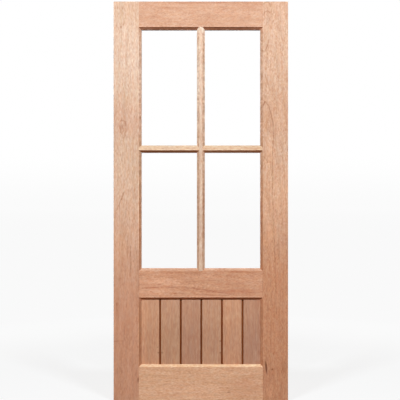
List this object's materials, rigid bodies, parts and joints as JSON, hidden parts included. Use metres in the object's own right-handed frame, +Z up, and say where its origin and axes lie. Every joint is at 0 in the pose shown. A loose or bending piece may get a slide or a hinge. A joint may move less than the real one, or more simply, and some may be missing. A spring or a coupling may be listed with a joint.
{
  "type": "front door",
  "caption": "Bare hardwood front door leaf with open lights above a lock rail and an upright boarded panel below, bevelled round every opening.",
  "frame": {"origin": "on the hinge edge (the left edge seen from outside), at the foot of the leaf and mid-thickness", "axes": "+X across the leaf from the hinge edge to the lock edge, +Y through the thickness from the outside face to the inside face, +Z up"},
  "size_m": [0.864, 0.044, 1.981],
  "materials": {
    "stile_wood": "bare sanded",
    "rail_wood": "bare sanded",
    "bar_wood": "bare sanded",
    "board_wood": "bare sanded",
    "bead_wood": "bare sanded"
  },
  "bodies": {
    "root": {"left_stile": "stile_wood", "right_stile": "stile_wood", "top_rail": "rail_wood", "lock_rail": "rail_wood", "bottom_rail": "rail_wood", "mullion_bar": "bar_wood", "left_cross_bar": "bar_wood", "right_cross_bar": "bar_wood", "panel_board_1": "board_wood", "panel_board_2": "board_wood", "panel_board_3": "board_wood", "panel_board_4": "board_wood", "panel_board_5": "board_wood", "panel_board_6": "board_wood", "upper_left_bead_top": "bead_wood", "upper_left_bead_bottom": "bead_wood", "upper_left_bead_left": "bead_wood", "upper_left_bead_right": "bead_wood", "upper_right_bead_top": "bead_wood", "upper_right_bead_bottom": "bead_wood", "upper_right_bead_left": "bead_wood", "upper_right_bead_right": "bead_wood", "lower_left_bead_top": "bead_wood", "lower_left_bead_bottom": "bead_wood", "lower_left_bead_left": "bead_wood", "lower_left_bead_right": "bead_wood", "lower_right_bead_top": "bead_wood", "lower_right_bead_bottom": "bead_wood", "lower_right_bead_left": "bead_wood", "lower_right_bead_right": "bead_wood"}
  },
  "joints": []
}
